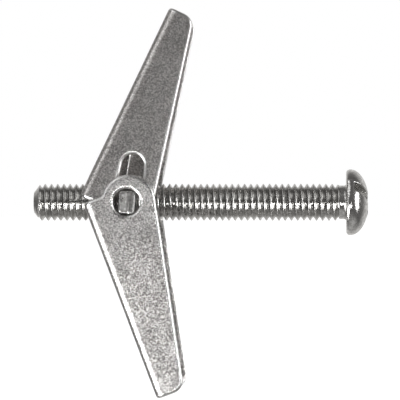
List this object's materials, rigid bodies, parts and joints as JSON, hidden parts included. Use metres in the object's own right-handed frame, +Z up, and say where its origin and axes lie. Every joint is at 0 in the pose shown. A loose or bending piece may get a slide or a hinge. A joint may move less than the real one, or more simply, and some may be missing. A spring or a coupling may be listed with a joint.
{
  "type": "spring toggle bolt",
  "caption": "Spring toggle bolt for hollow walls: round-head machine screw with a lugged nut and spring-opened folding channel wings.",
  "frame": {"origin": "on the screw's axis, in the plane of the head's bearing face", "axes": "+X along the screw towards the head, Y along the wings' pivot, +Z up towards the upper wing"},
  "size_m": [0.0534, 0.0154, 0.062],
  "materials": {
    "screw_zinc": "bright zinc plate, glossy",
    "nut_zinc": "bright zinc plate, satin",
    "spring_steel": "bright zinc plate on drawn wire",
    "wing_zinc": "zinc plate on sheet steel, fine mottled grain"
  },
  "bodies": {
    "screw": {"machine_screw": "screw_zinc"},
    "nut": {"toggle_nut": "nut_zinc", "torsion_spring": "spring_steel"},
    "wing_up": {"upper_wing": "wing_zinc"},
    "wing_down": {"lower_wing": "wing_zinc"}
  },
  "joints": [
    {"name": "toggle_travel", "type": "slide", "parent": "screw", "child": "nut", "axis": [1, 0, 0], "range_m": [-0.013, 0.003]},
    {"name": "upper_wing_fold", "type": "hinge", "parent": "nut", "child": "wing_up", "pos_m": [-0.0347, 0, 0], "axis": [0, 1, 0], "range_deg": [0, 66], "stiffness_Nm_per_rad": 0.03, "springref_deg": -28.65, "deforming": ["torsion_spring"]},
    {"name": "lower_wing_fold", "type": "hinge", "parent": "nut", "child": "wing_down", "pos_m": [-0.0347, 0, 0], "axis": [0, -1, 0], "range_deg": [0, 66], "stiffness_Nm_per_rad": 0.03, "springref_deg": -28.65, "deforming": ["torsion_spring"]}
  ]
}
